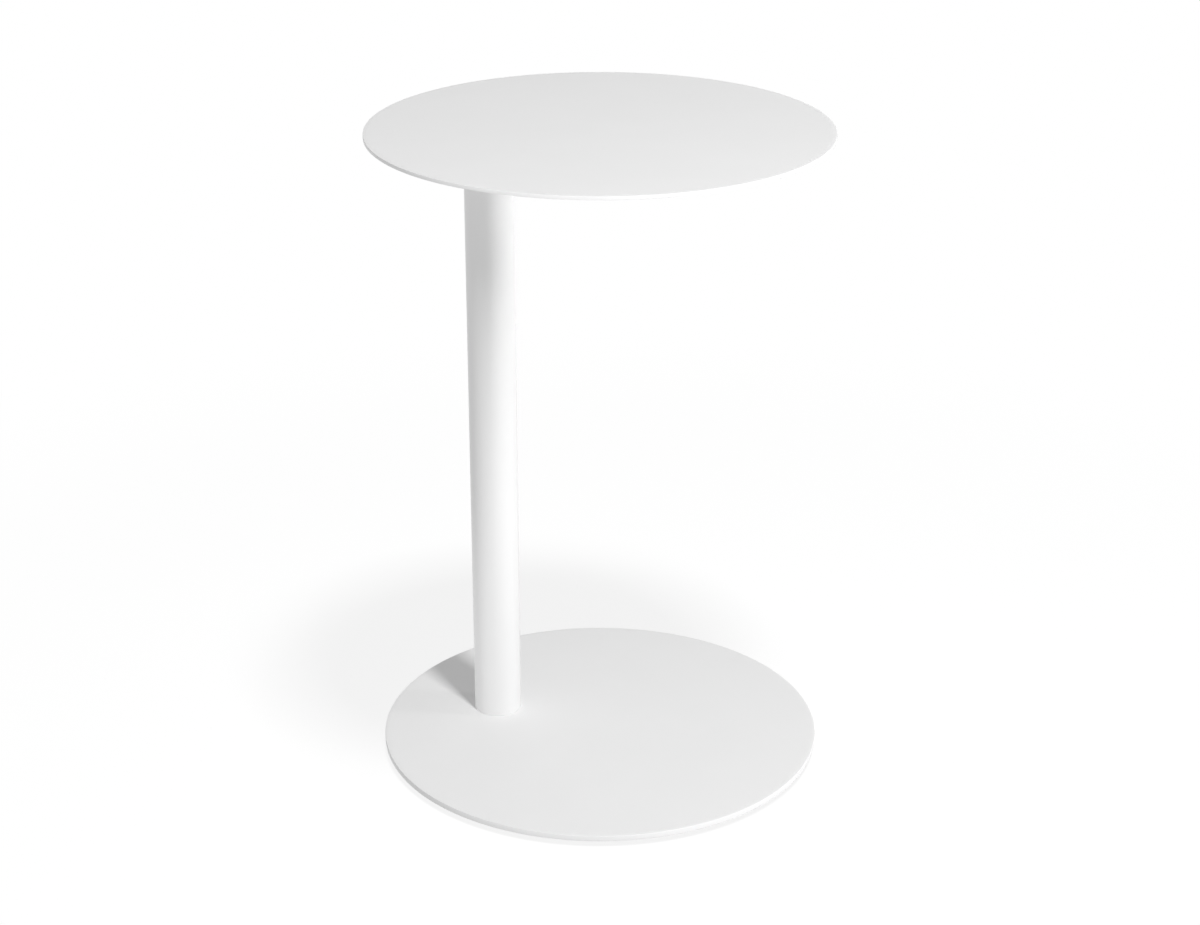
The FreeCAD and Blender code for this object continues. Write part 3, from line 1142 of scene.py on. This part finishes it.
@dataclass(frozen=True)
class SoftBox:
    """A studio soft box, aimed at a point on the table's axis.

    Attributes:
        name: Its name.
        azimuth: How far round from the camera's side it stands, in degrees, to the camera's right.
        elevation: How high it stands above the point that it is aimed at, in degrees.
        distance: How far it is from that point.
        size: Its width and its height.
        level: The brightness that it gives, without its grid, to a white surface that faces it at that point.
        aim: The height of the point that it is aimed at.
        lights: What it lights.
        grid: The angle within which the grid on its front lets light out, in degrees: 180 without a grid.
    """

    name: str
    azimuth: float
    elevation: float
    distance: float
    size: tuple[float, float]
    level: float
    aim: float = 0.25
    lights: Target = Target.TABLE
    grid: float = 180.0

    def build(self, camera: PhotoCamera, receivers: Collection) -> None:
        """Makes the lamp.

        Args:
            camera: The camera whose side the azimuth counts from.
            receivers: What the lamp lights.
        """
        data = bpy.data.lights.new(self.name, "AREA")
        data.shape = "RECTANGLE"
        data.size, data.size_y = self.size
        half = math.radians(self.grid) / 2
        data.spread = 2 * half
        # A lamp of this power gives a white surface that brightness at that distance. A grid gathers the
        # power into its angle, so the power comes down by as much.
        data.energy = self.level * (math.pi * self.distance) ** 2 * (1 - half / math.tan(half))
        lamp = bpy.data.objects.new(self.name, data)
        up_by = math.radians(self.elevation)
        level_way = heading(FRONT + math.radians(camera.azimuth + self.azimuth))
        way = level_way * math.cos(up_by) + UP * math.sin(up_by)
        lamp.location = UP * self.aim + way * self.distance
        lamp.rotation_euler = (-way).to_track_quat("-Z", "Y").to_euler()
        lamp.light_linking.receiver_collection = receivers
        # A soft box in the coat's shine would wash out the plates from its far side, so none shows there.
        lamp.visible_glossy = False
        lamp.visible_camera = False
        bpy.context.scene.collection.objects.link(lamp)


@dataclass
class Studio:
    """A white floor that runs out to white, plain soft boxes and an even fill.

    Attributes:
        floor_radius: How far the floor runs.
        floor_steps: How many sides its rim has.
        floor_drop: How far the floor lies under the pads, so that they and it aren't in one plane.
        floor_albedo: The share of light that the floor shows to the camera, and so how deep its shadows look.
        floor_base: The brightness that the floor has to the camera without any lamp.
        floor_fill: The brightness that the floor sends up to the table.
        under_fill: The same under the base, painted darker there as painted shade for the base's shadow.
        under_edge: The distances from the table's axis between which the one passes into the other.
        fade: The distances from the table's axis at which the floor starts and ends to run out to white.
        fill: The brightness of the even fill from all round.
        white: The brightness of the background.
        boxes: The lamps.
    """

    floor_radius: float = 30.0
    floor_steps: int = 96
    floor_drop: float = 0.2 * MM
    floor_albedo: float = 0.2
    floor_base: float = 0.817
    floor_fill: float = 0.81
    # Painted shade: the floor glows less under the base, in place of the shadow that the base casts on it.
    under_fill: float = 0.42
    under_edge: tuple[float, float] = (0.185, 0.195)
    fade: tuple[float, float] = (0.55, 1.1)
    fill: float = 0.355
    white: float = 1.0
    boxes: tuple[SoftBox, ...] = (
        SoftBox("key_strip", azimuth=30.0, elevation=43.0, distance=3.0, size=(0.48, 1.36), level=0.77),
        SoftBox("side_box", azimuth=85.0, elevation=8.0, distance=2.5, size=(0.3, 0.25), level=0.232),
        SoftBox(
            "high_card",
            azimuth=88.0,
            elevation=0.0,
            distance=1.0,
            size=(0.3, 0.2),
            level=0.76,
            aim=0.48,
            lights=Target.POST,
            grid=20.0,
        ),
        SoftBox(
            "low_card",
            azimuth=-75.0,
            elevation=0.0,
            distance=0.9,
            size=(0.3, 0.06),
            level=0.27,
            aim=0.03,
            lights=Target.POST,
            grid=30.0,
        ),
        SoftBox(
            "floor_lamp",
            azimuth=28.5,
            elevation=74.2,
            distance=4.73,
            size=(0.7, 0.7),
            level=0.6,
            aim=0.0,
            lights=Target.FLOOR,
        ),
    )

    @staticmethod
    def seen_rays(tree: NodeTree) -> NodeSocket:
        """Adds what tells rays that show the background from rays that only carry light.

        Args:
            tree: The node tree that gets it.

        Returns:
            A socket that is 1 for camera, glossy and transmission rays, and otherwise 0.
        """
        path = add_node(tree, "ShaderNodeLightPath").outputs
        seen = path["Is Camera Ray"]
        for kind in ("Is Glossy Ray", "Is Transmission Ray"):
            either = add_node(tree, "ShaderNodeMath", {0: seen, 1: path[kind]}, operation="MAXIMUM")
            seen = either.outputs["Value"]
        return seen

    def floor_material(self) -> Material:
        """Builds the floor's material: white acrylic, lit from below, that keeps the table's shadow.

        Returns:
            The material.
        """
        made, tree, place = new_tree("studio_floor_acrylic_white")
        reach = add_node(tree, "ShaderNodeVectorMath", {0: place}, operation="LENGTH")
        run_out = add_node(
            tree,
            "ShaderNodeMapRange",
            {"Value": reach.outputs["Value"], "From Min": self.fade[0], "From Max": self.fade[1]},
            interpolation_type="SMOOTHSTEP",
        )
        albedo = (self.floor_albedo,) * 3 + (1.0,)
        shaded = add_node(tree, "ShaderNodeBsdfDiffuse", {"Color": albedo})
        base = add_node(tree, "ShaderNodeEmission", {"Strength": self.floor_base})
        near = add_node(tree, "ShaderNodeAddShader", {0: shaded.outputs["BSDF"], 1: base.outputs["Emission"]})
        white = add_node(tree, "ShaderNodeEmission", {"Strength": self.white})
        seen = add_node(
            tree,
            "ShaderNodeMixShader",
            {0: run_out.outputs["Result"], 1: near.outputs["Shader"], 2: white.outputs["Emission"]},
        )
        # Painted shade: the glow sent up to the table drops to under_fill inside the base's footprint.
        sent_up = add_node(
            tree,
            "ShaderNodeMapRange",
            {
                "Value": reach.outputs["Value"],
                "From Min": self.under_edge[0],
                "From Max": self.under_edge[1],
                "To Min": self.under_fill,
                "To Max": self.floor_fill,
            },
        )
        fill = add_node(tree, "ShaderNodeEmission", {"Strength": sent_up.outputs["Result"]})
        upper = add_node(
            tree,
            "ShaderNodeMixShader",
            {0: self.seen_rays(tree), 1: fill.outputs["Emission"], 2: seen.outputs["Shader"]},
        )
        # From below, the floor lets the table's underside be seen.
        below = add_node(tree, "ShaderNodeNewGeometry").outputs["Backfacing"]
        clear = add_node(tree, "ShaderNodeBsdfTransparent")
        sides = add_node(
            tree, "ShaderNodeMixShader", {0: below, 1: upper.outputs["Shader"], 2: clear.outputs["BSDF"]}
        )
        add_node(tree, "ShaderNodeOutputMaterial", {"Surface": sides.outputs["Shader"]})
        return made

    def build_floor(self) -> Object:
        """Builds the floor.

        Returns:
            The floor.
        """
        mesh = bmesh.new()
        made = bmesh.ops.create_circle(
            mesh, cap_ends=True, radius=self.floor_radius, segments=self.floor_steps
        )
        bmesh.ops.translate(mesh, verts=made["verts"], vec=-UP * self.floor_drop)
        data = bpy.data.meshes.new("studio_floor")
        mesh.to_mesh(data)
        mesh.free()
        data.materials.append(self.floor_material())
        floor = bpy.data.objects.new("studio_floor", data)
        bpy.context.scene.collection.objects.link(floor)
        floor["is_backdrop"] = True
        return floor

    def build_world(self) -> None:
        """Makes the even fill, with a white background for rays that show it."""
        world = bpy.data.worlds.new("studio_fill")
        world.use_nodes = True
        tree = world.node_tree
        tree.nodes.clear()
        fill = add_node(tree, "ShaderNodeBackground", {"Color": WHITE, "Strength": self.fill})
        white = add_node(tree, "ShaderNodeBackground", {"Color": WHITE, "Strength": self.white})
        both = add_node(
            tree,
            "ShaderNodeMixShader",
            {0: self.seen_rays(tree), 1: fill.outputs["Background"], 2: white.outputs["Background"]},
        )
        add_node(tree, "ShaderNodeOutputWorld", {"Surface": both.outputs["Shader"]})
        bpy.context.scene.world = world

    def build(self, camera: PhotoCamera) -> None:
        """Builds the floor, the fill and the lamps.

        Args:
            camera: The camera whose side the lamps' azimuths count from.
        """
        receivers = {target: bpy.data.collections.new(f"lit_{target.value}") for target in Target}
        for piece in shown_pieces():
            receivers[Target.TABLE].objects.link(piece)
        receivers[Target.POST].objects.link(bpy.data.objects[POST_PIECE])
        receivers[Target.FLOOR].objects.link(self.build_floor())
        self.build_world()
        for box in self.boxes:
            box.build(camera, receivers[box.lights])


def main() -> None:
    """Builds the table, dresses it and sets it in the studio."""
    logging.basicConfig(level=logging.INFO, format="%(name)s: %(message)s")
    finishes = {
        Slot.COAT: PowderCoat().material(),
        Slot.ZINC: ZincPlate().material(),
        Slot.STEEL: BareSteel(centre=Seat.of("post_tube").axis).material(),
        Slot.NYLON: MouldedNylon().material(),
        Slot.FOAM: FoamTape().material(),
    }
    for part in (Top(), Post(), Base(), Glides()):
        part.build()
        part.dress(finishes)
        for piece, _ in part.pieces:
            LOG.info("%s: %d faces", piece.name, len(piece.data.polygons))
    camera = PhotoCamera()
    camera.build()
    Studio().build(camera)
    bpy.context.scene.view_settings.view_transform = "Standard"


if __name__ == "__main__":
    main()
